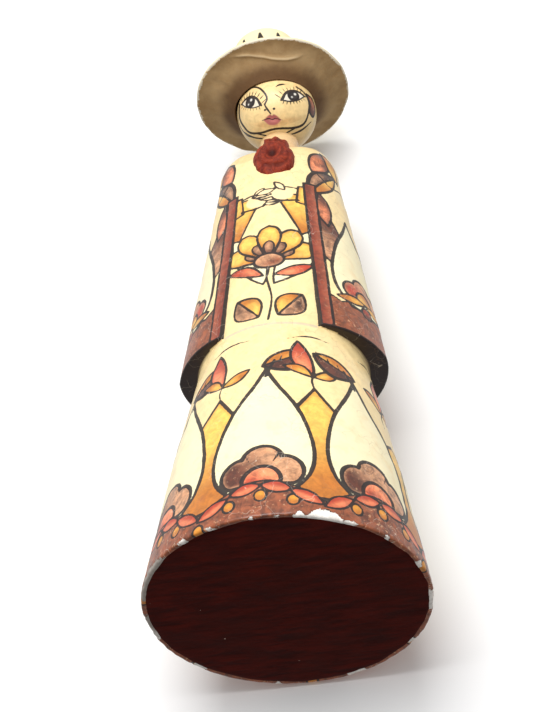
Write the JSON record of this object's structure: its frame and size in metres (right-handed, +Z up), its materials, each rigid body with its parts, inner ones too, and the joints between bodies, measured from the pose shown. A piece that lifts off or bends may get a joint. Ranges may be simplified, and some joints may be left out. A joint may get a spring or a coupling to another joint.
{
  "type": "papier-mache figure",
  "caption": "Hand-painted papier-mache figure of a woman in a bell skirt, open jacket, neckerchief and wide-brimmed hat, standing on its flat base.",
  "frame": {"origin": "centre of the round base's underside", "axes": "+Z up the figure, -Y the way the figure faces, +X towards its left hand"},
  "size_m": [0.104, 0.104, 0.3008],
  "materials": {
    "painted_body": "cream papier-mache painted with flowers and leaves, satin varnish",
    "painted_head": "painted face, satin varnish",
    "hat_paper": "bare brown paper under the brim, cream paint above",
    "kerchief_paper": "crumpled paper painted dark red"
  },
  "bodies": {
    "root": {"body": "painted_body", "head": "painted_head", "hat": "hat_paper", "neckerchief": "kerchief_paper"}
  },
  "joints": []
}
